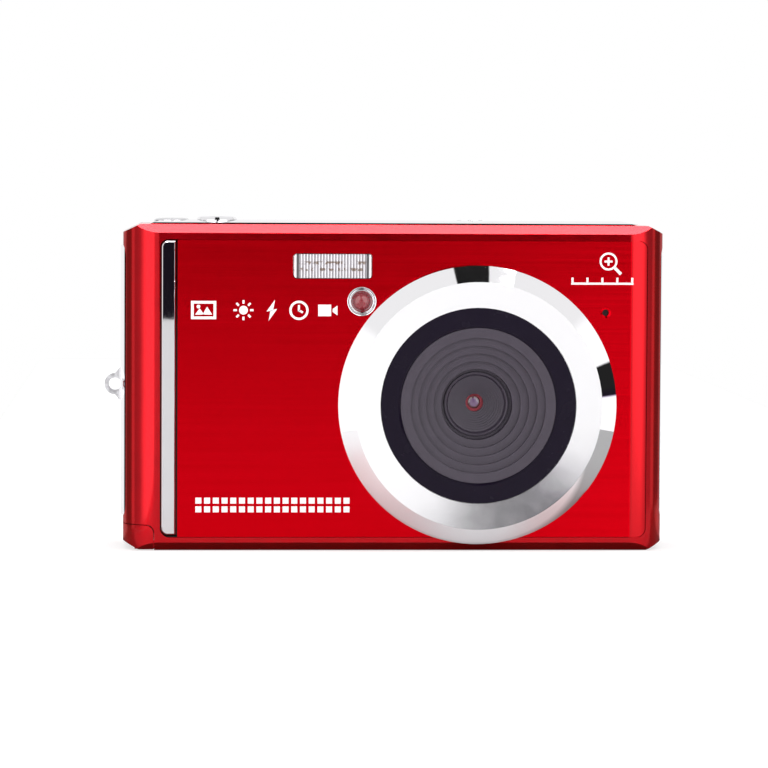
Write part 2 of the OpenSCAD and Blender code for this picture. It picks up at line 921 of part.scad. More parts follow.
module lcd_module() {
    color([0.2, 0.22, 0.26])
    block([window_left + 0.5, window_left + window_w - 0.5], [5.4, inner_front - 0.25],
          [window_low + 0.5, window_low + window_h - 0.5]);
}

module lcd_gasket() {
    x = window_left + window_w / 2;
    z = window_low + window_h / 2;
    color([0.05, 0.05, 0.05])
    difference() {
        block([x - 27, x + 27], [inner_front - 0.25, inner_front], [z - 20.2, z + 20.2]);
        block([x - active_w / 2 - 0.3, x + active_w / 2 + 0.3], [0, far],
              [z - active_h / 2 - 0.3, z + active_h / 2 + 0.3]);
    }
}

module lcd_ribbon() {
    color([0.75, 0.5, 0.15])
    union() {
        block(ribbon_x, [6.8, 6.95], [5, window_low + 0.5]);
        block(ribbon_x, [board_back, 6.95], [5, 5.15]);
        block(ribbon_x, [board_back, board_back + 0.15], [5, 13]);
    }
}

module key_board() {
    color([0.04, 0.28, 0.12])
    block([-43, -16.4], [key_board_low, key_board_high], [7, 50.6]);
}

// Thin metal domes that click under the stems of the keys.
module dome_switches() {
    y = [key_board_high, key_board_high + dome_h];
    color([0.8, 0.78, 0.7]) {
        rod_y(keys_x, nav_z, 1.9, y);
        for (at = [[nav_stem, 0], [-nav_stem, 0], [0, nav_stem], [0, -nav_stem]])
            rod_y(keys_x + at[0], nav_z + at[1], 1.9, y);
        for (x = [-key_dx, key_dx], z = [upper_keys_z, lower_keys_z])
            rod_y(keys_x + x, z, 1.9, y);
        for (x = [-6, 6])
            rod_y(keys_x + x, zoom_z, 1.6, y);
    }
}

// The four-way pad: a dished ring with a hidden flange and a stem for each direction.
module nav_ring() {
    hole_r = ok_r + 0.55;
    color([0.8, 0.8, 0.82])
    union() {
        lathe_back(keys_x, nav_z)
            polygon([
                [hole_r, 7.9], [5.6, 7.9], [5.6, nav_flange[0]], [nav_r + 0.8, nav_flange[0]],
                [nav_r + 0.8, nav_flange[1]], [nav_r, nav_flange[1]], [nav_r, half_d + 0.15],
                [nav_r - 0.4, half_d + 0.4], [nav_r - 1.2, half_d + 0.4], [hole_r + 0.5, half_d],
                [hole_r, half_d - 0.1]
            ]);
        for (at = [[nav_stem, 0], [-nav_stem, 0], [0, nav_stem], [0, -nav_stem]])
            rod_y(keys_x + at[0], nav_z + at[1], 0.9, [key_tip, nav_flange[0] + 0.1]);
        // Ears with the stub pins of the second tilt axis
        for (side = [-1, 1]) {
            ear = [nav_z + side * 7.7, nav_z + side * 8.35];
            pin = [nav_z + side * 8.2, nav_z + side * 9.4];
            block([keys_x - 0.7, keys_x + 0.7], [gimbal_y - 0.35, nav_flange[0] + 0.1],
                  [min(ear), max(ear)]);
            rod_z(keys_x, gimbal_y, gimbal_pin_r, [min(pin), max(pin)]);
        }
    }
}

// Gimbal ring that lets the pad tilt about two axes, on two stub pins.
module nav_carrier() {
    color([0.15, 0.15, 0.16])
    union() {
        difference() {
            rod_y(keys_x, nav_z, 9.5, [gimbal_y - 0.5, gimbal_y + 0.5]);
            rod_y(keys_x, nav_z, 8.7, [0, far]);
            rod_z(keys_x, gimbal_y, gimbal_pin_r + 0.04, [0, far]);
        }
        for (x = [keys_x - 10.6, keys_x + 9.3])
            rod_x(gimbal_y, nav_z, gimbal_pin_r, [x, x + 1.3]);
    }
}

module ok_button() {
    color([0.78, 0.78, 0.8])
    lathe_back(keys_x, nav_z)
        polygon([
            [0, key_tip], [1, key_tip], [1, 6.9], [ok_r + 1.2, 6.9], [ok_r + 1.2, 7.4], [ok_r, 7.4],
            [ok_r, half_d + 0.1], [ok_r - 0.3, half_d + 0.35], [0, half_d + 0.35]
        ]);
}

// A round key of the rear face with its flange and stem.
module round_key(dx, z) {
    color([0.8, 0.8, 0.82])
    lathe_back(keys_x + dx, z)
        polygon([
            [0, key_tip], [1, key_tip], [1, key_flange[0]], [key_r + 0.6, key_flange[0]],
            [key_r + 0.6, key_flange[1]], [key_r, key_flange[1]], [key_r, half_d + key_proud - 0.25],
            [key_r - 0.25, half_d + key_proud], [0, half_d + key_proud]
        ]);
}

module mode_button() {
    round_key(key_dx, upper_keys_z);
}

module playback_button() {
    round_key(-key_dx, upper_keys_z);
}

module menu_button() {
    round_key(-key_dx, lower_keys_z);
}

module delete_button() {
    round_key(key_dx, lower_keys_z);
}

// The zoom key rocks on a pin that runs up and down through its middle.
module zoom_rocker() {
    low = [keys_x - zoom_half_w, zoom_z - zoom_half_h];
    high = [keys_x + zoom_half_w, zoom_z + zoom_half_h];
    color([0.8, 0.8, 0.82])
    union() {
        extrude_y([7.1, half_d + 0.3])
            round_rect(low, high, 1.7);
        for (side = [-1, 1]) {
            center = keys_x + side * (zoom_half_w - 2.4);
            extrude_y([half_d, half_d + 0.6])
                round_rect([center - 2, zoom_z - 1.7], [center + 2, zoom_z + 1.7], 1.6);
            rod_y(keys_x + side * 6, zoom_z, 0.9, [key_tip, 7.2]);
        }
        rod_z(keys_x, zoom_axis_y, pin_r, [zoom_z - zoom_half_h - 1.3, zoom_z + zoom_half_h + 1.3]);
    }
}

module status_light() {
    color([0.3, 0.75, 0.35, 0.8])
    rod_y(led_x, zoom_z, led_r - 0.1, [key_board_high, half_d + 0.05]);
}

// A round button of the top face: a cap with a bevelled rim, a flange and a stem.
module top_button(x, r, top, crown, stem_end) {
    translate([x, 0, 0])
        rotate_extrude()
            polygon([
                [0, stem_end], [1, stem_end], [1, button_flange_low], [r + 0.4, button_flange_low],
                [r + 0.4, button_flange_high], [r, button_flange_high], [r, top - crown],
                [r - 0.35, top - 0.3 * crown], [r - 0.9, top], [0, top]
            ]);
}

module shutter_button() {
    color([0.85, 0.85, 0.87])
    top_button(shutter_x, shutter_r, shutter_top, 0.6, switch_high + shutter_travel + 0.1);
}

module power_button() {
    color([0.8, 0.8, 0.82])
    top_button(power_x, power_r, power_top, 0.3, switch_high + power_travel + 0.1);
}

// A flat-wire coil between the top board and the shutter button's flange.
module shutter_spring() {
    low = top_board_high + 0.02;
    high = button_flange_low - 0.02;
    turns = 4;
    steps = 6;
    arc = 170;
    color([0.6, 0.6, 0.62])
    translate([shutter_x, 0, low])
        linear_extrude(high - low, twist = -360 * turns, slices = 14 * turns, segments = 0)
            polygon(concat(
                [for (k = [0 : steps]) 2.4 * [cos(arc * k / steps), sin(arc * k / steps)]],
                [for (k = [steps : -1 : 0]) 2.05 * [cos(arc * k / steps), sin(arc * k / steps)]]
            ));
}

module top_switches() {
    z = [top_board_high, switch_high];
    color([0.8, 0.78, 0.7]) {
        rod_z(shutter_x, 0, 1.6, z);
        rod_z(power_x, 0, 1.6, z);
    }
}

module top_board() {
    color([0.04, 0.28, 0.12])
    block([-41.5, -25.2], [-4.8, 3], [top_board_low, top_board_high]);
}

// The battery door: a plate in the base, the red corner cap and two hinge knuckles.
module battery_door() {
    color([0.72, 0.02, 0.04])
    difference() {
        union() {
            intersection() {
                shell_wall();
                extrude_y([-far, far])
                    cap_shape(0);
            }
            block([2 - half_w, hinge_x], [-door_half, door_half], [0, base_inner + 0.2]);
            for (side = [-1, 1])
                rod_y(hinge_x, hinge_z, hinge_r, [side * 4.55 - 3.05, side * 4.55 + 3.05]);
        }
        block([-far, far], [-far, far], [-1, door_floor]);
        rod_y(hinge_x, hinge_z, pin_r + 0.05, [-far, far]);
        block([hinge_x - hinge_r - 0.16, 0], [-1.5, 1.5], [-1, far]);
    }
}

// The hinge's moving half: a knuckle between the door's two, and a plate that slides over the base.
module door_slider() {
    z = [bottom_t + 0.15, hinge_z + hinge_r];
    color([0.6, 0.6, 0.62])
    difference() {
        union() {
            rod_y(hinge_x, hinge_z, hinge_r, [-1.35, 1.35]);
            block([hinge_x, bottom_left], [-1.35, 1.35], z);
            block([bottom_left, -socket_r - 0.2], [-5.5, 5.5], z);
            // Arms that stay over the base while the door is out
            for (side = [-5.05, 5.05])
                block([bottom_left, bottom_left + door_slide + 2.5], [side - 0.45, side + 0.45], z);
        }
        rod_y(hinge_x, hinge_z, pin_r, [-far, far]);
    }
}

module door_pin() {
    color([0.7, 0.7, 0.72])
    rod_y(hinge_x, hinge_z, pin_r, [-5.6, 5.6]);
}

module tripod_socket() {
    color([0.75, 0.75, 0.77])
    difference() {
        rod_z(0, 0, socket_r, [0, 7]);
        rod_z(0, 0, socket_bore_r, [-1, socket_bore_l]);
    }
}

// A small cross-head screw along +Z, its head at z = 0.
module screw(shank) {
    difference() {
        union() {
            cylinder(r = screw_head_r, h = screw_head_h);
            cylinder(r = screw_r, h = shank);
        }
        for (turn = [0, 90])
            rotate([0, 0, turn])
                block([-0.8, 0.8], [-0.16, 0.16], [-1, 0.35]);
    }
}

module case_screws() {
    side_x = half_w + pad_out - 0.1;
    color([0.15, 0.15, 0.16]) {
        for (s = side_screws)
            translate([s[0] * side_x, 0, s[1]])
                rotate([0, -90 * s[0], 0])
                    screw(5);
        for (x = base_screws_x)
            translate([x, 0, 0.05])
                screw(5);
    }
}

front_cover();
front_panel();
accent_strip();
side_band();
rear_cover();
bottom_cover();
chassis();
lens_bezel();
lens_trim_ring();
lens_hood();
lens_barrel();
front_lens();
rear_lenses();
aperture_stop();
infrared_filter();
image_sensor();
sensor_board();
flash_window();
flash_reflector();
flash_tube();
flash_capacitor();
lamp_bezel();
lamp_lens();
lamp_led();
microphone();
speaker();
main_board();
board_chips();
usb_socket();
card_slot();
battery();
battery_contacts();
lcd_window();
lcd_module();
lcd_gasket();
lcd_ribbon();
key_board();
dome_switches();
nav_ring();
nav_carrier();
ok_button();
mode_button();
playback_button();
menu_button();
delete_button();
zoom_rocker();
status_light();
shutter_button();
shutter_spring();
power_button();
top_switches();
top_board();
battery_door();
door_slider();
door_pin();
tripod_socket();
case_screws();
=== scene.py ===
"""Looks for the compact digital camera: materials, small surface pieces, studio and camera."""
import json
import math

import bmesh
import bpy
from mathutils import Matrix, Vector


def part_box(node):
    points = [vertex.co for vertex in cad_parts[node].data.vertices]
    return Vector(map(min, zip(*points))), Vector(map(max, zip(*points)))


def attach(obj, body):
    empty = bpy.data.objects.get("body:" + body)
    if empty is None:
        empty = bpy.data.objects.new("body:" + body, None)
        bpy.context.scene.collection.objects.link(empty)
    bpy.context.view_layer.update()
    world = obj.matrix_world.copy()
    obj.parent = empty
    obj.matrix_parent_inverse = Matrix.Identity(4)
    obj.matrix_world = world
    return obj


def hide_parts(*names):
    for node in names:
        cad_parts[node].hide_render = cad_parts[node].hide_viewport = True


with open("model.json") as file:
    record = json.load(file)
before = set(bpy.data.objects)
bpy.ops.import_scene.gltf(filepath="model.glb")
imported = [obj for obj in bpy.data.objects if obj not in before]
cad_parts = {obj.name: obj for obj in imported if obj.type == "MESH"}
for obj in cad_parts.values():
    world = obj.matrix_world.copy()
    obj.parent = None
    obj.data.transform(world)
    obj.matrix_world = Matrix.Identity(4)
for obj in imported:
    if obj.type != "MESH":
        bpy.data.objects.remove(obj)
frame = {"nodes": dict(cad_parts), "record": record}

MM = 0.001
NODES = frame["nodes"]
ROOT = "camera"

for stale in ("Cube", "Light", "Camera"):
    if stale in bpy.data.objects:
        bpy.data.objects.remove(bpy.data.objects[stale])
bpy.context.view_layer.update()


# ---------------------------------------------------------------- places read from the frame

def mid(node):
    """Centre of a CAD node's box, in mm."""
    low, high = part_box(node)
    return (low + high) / 2 / MM


def low_of(node):
    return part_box(node)[0] / MM


def high_of(node):
    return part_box(node)[1] / MM


LENS = mid("lens_bezel")
RING_OUTER = (high_of("lens_bezel").x - low_of("lens_bezel").x) / 2
PANEL_Y = low_of("front_panel").y
PANEL_LOW = low_of("front_panel")
PANEL_HIGH = high_of("front_panel")
WINDOW = mid("lcd_window")
ACTIVE_HALF_W = 24.4            # half the size of the screen's active area
ACTIVE_HALF_H = 18.3
STRIP = mid("accent_strip")
STRIP_Y = low_of("accent_strip").y
STRIP_REACH = 1.65              # half the width of the strip with its slot
STRIP_RISE = 24.85              # half its height
BAND_X = high_of("side_band").x
BAND_Z = high_of("side_band").z
SIDE_SLOT_Y = -4.94             # how far back the painted shade in the slots along the band's pads reaches
TOP_SLOT_Y = -4.04
BEND_X = PANEL_HIGH.x - 2.6     # where the panel bends round its right edge
CHAMFER_W = 2.65                # width of the lens ring's polished chamfer
FLASH = mid("flash_window")
FLASH_LOW = low_of("flash_window")
FLASH_HIGH = high_of("flash_window")
FLASH_FLANGE = 0.7              # how far the window's hidden rim reaches past the ribs
FLASH_HALF_W = (FLASH_HIGH.x - FLASH_LOW.x) / 2 - FLASH_FLANGE
FLASH_RIBS = 26


# ---------------------------------------------------------------- node helpers

class Graph:
    """A material or world node tree with short ways to add nodes."""

    def __init__(self, tree):
        self.tree = tree
        tree.nodes.clear()

    def add(self, kind, **settings):
        node = self.tree.nodes.new(kind)
        for key, value in settings.items():
            setattr(node, key, value)
        return node

    def put(self, socket, value):
        if isinstance(value, bpy.types.NodeSocket):
            self.tree.links.new(value, socket)
        elif value is not None:
            socket.default_value = value

    def math(self, operation, a, b=None, c=None):
        node = self.add("ShaderNodeMath", operation=operation)
        for socket, value in zip(node.inputs, (a, b, c)):
            self.put(socket, value)
        return node.outputs[0]

    def product(self, *factors):
        result = factors[0]
        for factor in factors[1:]:
            result = self.math("MULTIPLY", result, factor)
        return result

    def away(self, value, centre):
        """How far a value is from a centre, on either side of it."""
        return self.math("ABSOLUTE", self.math("SUBTRACT", value, centre))

    def span(self, value, from_low, from_high, to_low, to_high, smooth=False):
        node = self.add("ShaderNodeMapRange", clamp=True)
        node.interpolation_type = "SMOOTHSTEP" if smooth else "LINEAR"
        for socket, item in zip(node.inputs, (value, from_low, from_high, to_low, to_high)):
            self.put(socket, item)
        return node.outputs[0]

    def band(self, value, start, full, fade, end, smooth=False):
        """Rises from 0 to 1 between start and full, and falls back to 0 between fade and end."""
        return self.product(self.span(value, start, full, 0, 1, smooth),
                            self.span(value, fade, end, 1, 0, smooth))

    def mix(self, factor, a, b):
        node = self.add("ShaderNodeMix", data_type="RGBA")
        self.put(node.inputs[0], factor)
        self.put(node.inputs[6], a)
        self.put(node.inputs[7], b)
        return node.outputs[2]

    def mix_numbers(self, factor, a, b):
        return self.math("ADD", self.product(a, self.math("SUBTRACT", 1, factor)),
                         self.product(b, factor))

    def place(self):
        """Object coordinates in mm, as separate x, y and z outputs."""
        coord = self.add("ShaderNodeTexCoord")
        scale = self.add("ShaderNodeVectorMath", operation="SCALE")
        self.put(scale.inputs[0], coord.outputs["Object"])
        scale.inputs[3].default_value = 1 / MM
        split = self.add("ShaderNodeSeparateXYZ")
        self.put(split.inputs[0], scale.outputs[0])
        return split.outputs

    def lens_radius(self):
        """Distance from the lens axis, in mm."""
        x, _, z = self.place()
        dx = self.math("SUBTRACT", x, LENS.x)
        dz = self.math("SUBTRACT", z, LENS.z)
        return self.math("SQRT", self.math("ADD", self.product(dx, dx), self.product(dz, dz)))

    def stretched(self, scale):
        """Object coordinates in mm times a scale for each axis."""
        coord = self.add("ShaderNodeTexCoord")
        mapping = self.add("ShaderNodeMapping")
        mapping.inputs["Scale"].default_value = [s / MM for s in scale]
        self.put(mapping.inputs[0], coord.outputs["Object"])
        return mapping.outputs[0]

    def noise(self, scale, detail=3, rough=0.55):
        node = self.add("ShaderNodeTexNoise")
        node.inputs["Scale"].default_value = 1
        node.inputs["Detail"].default_value = detail
        node.inputs["Roughness"].default_value = rough
        self.put(node.inputs["Vector"], self.stretched(scale))
        return node.outputs["Fac"]

    def uneven(self, scale, low, high, detail=3):
        """Noise spread between two values, such as the roughness of a handled surface."""
        return self.span(self.noise(scale, detail), 0.3, 0.7, low, high)

    def bump(self, height, strength, depth_mm):
        node = self.add("ShaderNodeBump")
        node.inputs["Strength"].default_value = strength
        node.inputs["Distance"].default_value = depth_mm * MM
        self.put(node.inputs["Height"], height)
        return node.outputs[0]


def rgba(color):
    return (*color, 1.0)


def shaded(name, **values):
    """A material with one principled shader. Values set sockets by lower-case name."""
    material = bpy.data.materials.new("look_" + name)
    material.use_nodes = True
    graph = Graph(material.node_tree)
    shader = graph.add("ShaderNodeBsdfPrincipled")
    output = graph.add("ShaderNodeOutputMaterial")
    graph.put(output.inputs["Surface"], shader.outputs[0])
    for key, value in values.items():
        graph.put(shader.inputs[key.replace("_", " ").title().replace("Ior", "IOR")], value)
    return material, graph, shader


def tinted(graph, shader, color, amount, scale):
    """Base colour that wanders a little between a darker and a lighter tone."""
    dark = [c * (1 - amount) for c in color]
    light = [min(1, c * (1 + amount)) for c in color]
    graph.put(shader.inputs["Base Color"], graph.mix(graph.uneven(scale, 0, 1), rgba(dark), rgba(light)))


def plain(name, color, metallic, rough, grain=0.02, depth=0.01, grain_scale=(6, 6, 6),
          amount=0.06, **more):
    """A surface with colour drift, uneven roughness and a fine grain in its bump."""
    material, graph, shader = shaded(name, metallic=metallic, **more)
    tinted(graph, shader, color, amount, (0.25, 0.25, 0.25))
    graph.put(shader.inputs["Roughness"],
              graph.uneven((0.35, 0.35, 0.35), rough * 0.85, rough * 1.15, 4))
    if grain:
        graph.put(shader.inputs["Normal"], graph.bump(graph.noise(grain_scale, 2), grain, depth))
    return material


# ---------------------------------------------------------------- materials

def make_red_shell():
    """Metallic red paint with a thin clear coat, and painted shade in the slot round the accent strip."""
    material, graph, shader = shaded("red_shell", metallic=0.97, coat_weight=0.3,
                                     coat_roughness=0.07, specular_tint=rgba((0.5, 0.02, 0.03)))
    x, y, z = graph.place()
    paint = graph.mix(graph.uneven((0.3, 0.3, 0.3), 0, 1),
                      rgba((0.45, 0.0006, 0.0055)), rgba((0.5, 0.0006, 0.006)))
    # Painted shade: the slot round the accent strip is painted black below the face, where shade falls in
    # the gap
    painted_slot_shade = graph.product(graph.band(y, STRIP_Y + 0.25, STRIP_Y + 0.3, STRIP_Y + 1.6, STRIP_Y + 1.7),
                         graph.span(graph.away(x, STRIP.x), STRIP_REACH, STRIP_REACH + 0.05, 1, 0),
                         graph.span(graph.away(z, STRIP.z), STRIP_RISE, STRIP_RISE + 0.05, 1, 0))
    graph.put(shader.inputs["Base Color"], graph.mix(painted_slot_shade, paint, rgba((0.004, 0.003, 0.003))))
    graph.put(shader.inputs["Roughness"], graph.uneven((0.2, 0.2, 0.4), 0.14, 0.18, 4))
    flakes = graph.noise((22, 22, 22), 1)
    graph.put(shader.inputs["Normal"], graph.bump(flakes, 0.03, 0.006))
    return material


def make_red_panel():
    """Red anodised metal, brushed from side to side, so that highlights spread up and down."""
    material, graph, shader = shaded("red_panel", metallic=1.0, anisotropic=1.0,
                                     specular_tint=rgba((0.8, 0.02, 0.03)))
    fine = graph.noise((0.05, 12, 9), 3, 0.6)
    long_lines = graph.noise((0.015, 4, 2.2), 2)
    lines = graph.math("ADD", graph.product(fine, 0.6), graph.product(long_lines, 0.4))
    tone = graph.span(lines, 0.35, 0.65, 0, 1)
    color = graph.mix(tone, rgba((0.64, 0.0006, 0.0055)), rgba((0.75, 0.001, 0.0085)))
    # Painted highlight: a less saturated red on the bend along the right edge, so that the softbox
    # highlight there comes out pinkish white
    painted_bend_highlight = graph.span(graph.place()[0], BEND_X - 0.15, BEND_X, 0, 1)
    color = graph.mix(painted_bend_highlight, color, rgba((0.49, 0.012, 0.017)))
    graph.put(shader.inputs["Base Color"], color)
    graph.put(shader.inputs["Roughness"], graph.span(lines, 0.3, 0.7, 0.13, 0.17))
    along = graph.add("ShaderNodeCombineXYZ")
    along.inputs[2].default_value = 1
    graph.put(shader.inputs["Tangent"], along.outputs[0])
    graph.put(shader.inputs["Normal"], graph.bump(lines, 0.16, 0.01))
    return material


def polished(graph, shader, low, high):
    """Faint smudges in the roughness, between two values, and a slight waviness."""
    smudge = graph.noise((0.3, 0.3, 0.3), 5)
    graph.put(shader.inputs["Roughness"], graph.span(smudge, 0.35, 0.7, low, high))
    graph.put(shader.inputs["Normal"], graph.bump(graph.noise((0.8, 0.8, 0.8), 2), 0.02, 0.01))


def make_chrome(name="chrome", color=(0.88, 0.87, 0.89), rough=0.014):
    material, graph, shader = shaded(name, metallic=1.0)
    tinted(graph, shader, color, 0.015, (0.2, 0.2, 0.2))
    polished(graph, shader, rough, rough * 1.6)
    return material


def make_band_chrome():
    """Chrome with painted shade: its slots along the front edges of the pads are painted black."""
    material, graph, shader = shaded("band_chrome", metallic=1.0)
    x, y, z = graph.place()
    # Painted shade: black in the slots along the side and top of the pads, where shade falls in the slots
    side_slot_shade = graph.product(graph.band(graph.away(x, 0), BAND_X - 1.3, BAND_X - 1.25,
                                         BAND_X - 0.72, BAND_X - 0.69),
                              graph.span(y, SIDE_SLOT_Y - 0.04, SIDE_SLOT_Y, 1, 0))
    top_slot_shade = graph.product(graph.band(z, BAND_Z - 0.76, BAND_Z - 0.74, BAND_Z - 0.49, BAND_Z - 0.46),
                             graph.span(y, TOP_SLOT_Y - 0.04, TOP_SLOT_Y, 1, 0))
    painted_slot_shade = graph.math("MAXIMUM", side_slot_shade, top_slot_shade)
    metal = graph.mix(graph.uneven((0.2, 0.2, 0.2), 0, 1),
                      rgba((0.84, 0.83, 0.86)), rgba((0.9, 0.89, 0.91)))
    # The strap eyelet, on the left of the pad, is darker, with darker patches spread by a noise
    eyelet_dark_patches = graph.mix(graph.span(graph.noise((0.9, 0.9, 0.9)), 0.4, 0.6, 0, 1),
                     rgba((0.42, 0.41, 0.43)), rgba((0.74, 0.73, 0.76)))
    metal = graph.mix(graph.span(x, -BAND_X - 0.3, -BAND_X - 0.1, 1, 0), metal, eyelet_dark_patches)
    graph.put(shader.inputs["Base Color"], graph.mix(painted_slot_shade, metal, rgba((0.01, 0.01, 0.012))))
    polished(graph, shader, 0.03, 0.06)
    return material


def make_ring_metal():
    """Mirror chrome on the chamfer, satin on the ring's face."""
    material, graph, shader = shaded("ring_metal", metallic=1.0)
    face_r = RING_OUTER - CHAMFER_W
    face = graph.span(graph.lens_radius(), face_r + 0.03, face_r - 0.05, 0, 1)
    grain = graph.noise((14, 14, 14), 2)
    satin = graph.uneven((0.3, 0.3, 0.3), 0.1, 0.14, 4)
    polish = graph.uneven((0.3, 0.3, 0.3), 0.015, 0.03, 4)
    graph.put(shader.inputs["Roughness"], graph.mix_numbers(face, polish, satin))
    graph.put(shader.inputs["Base Color"],
              graph.mix(graph.span(grain, 0.3, 0.7, 0, 1), rgba((0.91, 0.9, 0.92)),
                        rgba((0.97, 0.96, 0.98))))
    graph.put(shader.inputs["Normal"], graph.bump(graph.product(grain, face), 0.08, 0.008))
    return material


def make_hood_grey():
    """Dull violet-grey plastic."""
    material, graph, shader = shaded("hood_grey", metallic=0.0, specular_ior_level=0.35)
    tinted(graph, shader, (0.049, 0.039, 0.056), 0.06, (0.5, 0.5, 0.5))
    graph.put(shader.inputs["Roughness"], graph.uneven((0.6, 0.6, 0.6), 0.42, 0.5))
    graph.put(shader.inputs["Normal"], graph.bump(graph.noise((16, 16, 16), 2), 0.1, 0.01))
    return material


def make_lens_glass():
    """Coated glass: magenta in the middle, a red rim, deep violet between."""
    material, graph, shader = shaded("lens_glass", metallic=0.0, roughness=0.03,
                                     coat_weight=1.0, coat_roughness=0.02)
    radius = graph.lens_radius()
    core = graph.span(radius, 0.6, 0.85, 0, 1, True)
    rim = graph.span(radius, 0.98, 1.18, 0, 1, True)
    inner = graph.mix(core, rgba((0.17, 0.08, 0.2)), rgba((0.08, 0.01, 0.017)))
    color = graph.mix(rim, inner, rgba((0.55, 0.1, 0.13)))
    speck = graph.uneven((3, 3, 3), 0.9, 1.05, 2)
    graph.put(shader.inputs["Base Color"], graph.mix(speck, rgba((0.05, 0.02, 0.04)), color))
    return material


def make_board():
    """Solder mask with copper traces and lighter pads."""
    material, graph, shader = shaded("board", metallic=0.0, roughness=0.4)
    cells = graph.add("ShaderNodeTexVoronoi", feature="DISTANCE_TO_EDGE")
    cells.inputs["Scale"].default_value = 1
    graph.put(cells.inputs["Vector"], graph.stretched((0.55, 0.01, 0.55)))
    trace = graph.span(cells.outputs["Distance"], 0.02, 0.05, 1, 0)
    pads = graph.span(graph.noise((1.4, 1.4, 1.4), 1), 0.66, 0.7, 0, 1)
    mask = graph.mix(trace, rgba((0.012, 0.09, 0.035)), rgba((0.03, 0.2, 0.07)))
    graph.put(shader.inputs["Base Color"], graph.mix(pads, mask, rgba((0.45, 0.4, 0.25))))
    graph.put(shader.inputs["Normal"], graph.bump(trace, 0.15, 0.02))
    return material


def make_screen_window():
    """Black window with a slightly lighter, bluish active area."""
    material, graph, shader = shaded("screen_window", metallic=0.0, coat_weight=0.4,
                                     coat_roughness=0.03)
    x, _, z = graph.place()
    soft = 0.25
    inside = graph.product(
        graph.span(graph.away(x, WINDOW.x), ACTIVE_HALF_W - soft, ACTIVE_HALF_W, 1, 0),
        graph.span(graph.away(z, WINDOW.z), ACTIVE_HALF_H - soft, ACTIVE_HALF_H, 1, 0))
    color = graph.mix(inside, rgba((0.006, 0.006, 0.007)), rgba((0.022, 0.025, 0.03)))
    graph.put(shader.inputs["Base Color"], color)
    graph.put(shader.inputs["Roughness"], graph.uneven((0.15, 0.15, 0.15), 0.04, 0.09, 5))
    return material


def make_clear_plastic():
    material, graph, shader = shaded("clear_plastic", metallic=0.0, transmission_weight=0.85,
                                     ior=1.49)
    tinted(graph, shader, (0.93, 0.94, 0.96), 0.02, (0.5, 0.5, 0.5))
    graph.put(shader.inputs["Roughness"], graph.uneven((1, 1, 1), 0.04, 0.1))
    return material


def make_flash_plastic():
    """Clear ribs over a bright trough: light and grey stripes painted as the lit trough seen through the
    ribs, darker spots, dark ends, and a painted highlight on the rounded ends.
    """
    material, graph, shader = shaded("flash_plastic", metallic=0.35, coat_weight=0.6,
                                     coat_roughness=0.05)
    x, _, z = graph.place()
    # Painted light: light and grey stripes along the ribs stand for the lit trough seen through them
    along = graph.math("SUBTRACT", x, FLASH.x)
    rib_turn = math.pi * FLASH_RIBS / (2 * FLASH_HALF_W)
    wave = graph.math("ABSOLUTE", graph.math("SINE", graph.product(along, rib_turn)))
    drift = graph.noise((1.3, 0.2, 0.25), 3)
    painted_rib_light = graph.span(graph.math("ADD", wave, graph.product(drift, 0.7)), 0.45, 1.15, 0, 1)
    color = graph.mix(painted_rib_light, rgba((0.3, 0.28, 0.3)), rgba((0.68, 0.66, 0.69)))
    # Two broken rows of darker spots, one above and one below the middle
    off_row = graph.away(graph.away(z, FLASH.z), 0.55)
    spots = graph.product(graph.span(off_row, 0.15, 0.35, 1, 0, True),
                          graph.span(graph.noise((1.1, 0.2, 0.9), 2), 0.5, 0.56, 0, 1))
    color = graph.mix(spots, color, rgba((0.24, 0.18, 0.15)))
    reach = graph.away(x, FLASH.x)
    color = graph.mix(graph.band(reach, 5.55, 5.65, 5.9, 6.0), color, rgba((0.05, 0.045, 0.05)))
    # Painted highlight: the rounded ends of the window are near white
    painted_end_highlight = graph.span(reach, 5.95, 6.05, 0, 1)
    graph.put(shader.inputs["Base Color"], graph.mix(painted_end_highlight, color, rgba((0.93, 0.93, 0.95))))
    graph.put(shader.inputs["Roughness"], graph.uneven((1, 1, 1), 0.1, 0.2))
    return material


def make_red_lens():
    material, graph, shader = shaded("red_lens", metallic=0.0, roughness=0.12,
                                     coat_weight=0.5, coat_roughness=0.04)
    tinted(graph, shader, (0.25, 0.02, 0.03), 0.15, (1.2, 1.2, 1.2))
    return material


def make_battery_wrap():
    """Black sleeve with a plain dark blue label."""
    material, graph, shader = shaded("battery_wrap", metallic=0.0)
    label = graph.band(graph.place()[2], 9.8, 10, 36, 36.2)
    color = graph.mix(label, rgba((0.02, 0.021, 0.025)), rgba((0.09, 0.1, 0.13)))
    graph.put(shader.inputs["Base Color"], color)
    graph.put(shader.inputs["Roughness"], graph.uneven((0.5, 0.5, 0.5), 0.35, 0.5, 4))
    graph.put(shader.inputs["Normal"], graph.bump(graph.noise((3, 3, 3), 2), 0.05, 0.01))
    return material


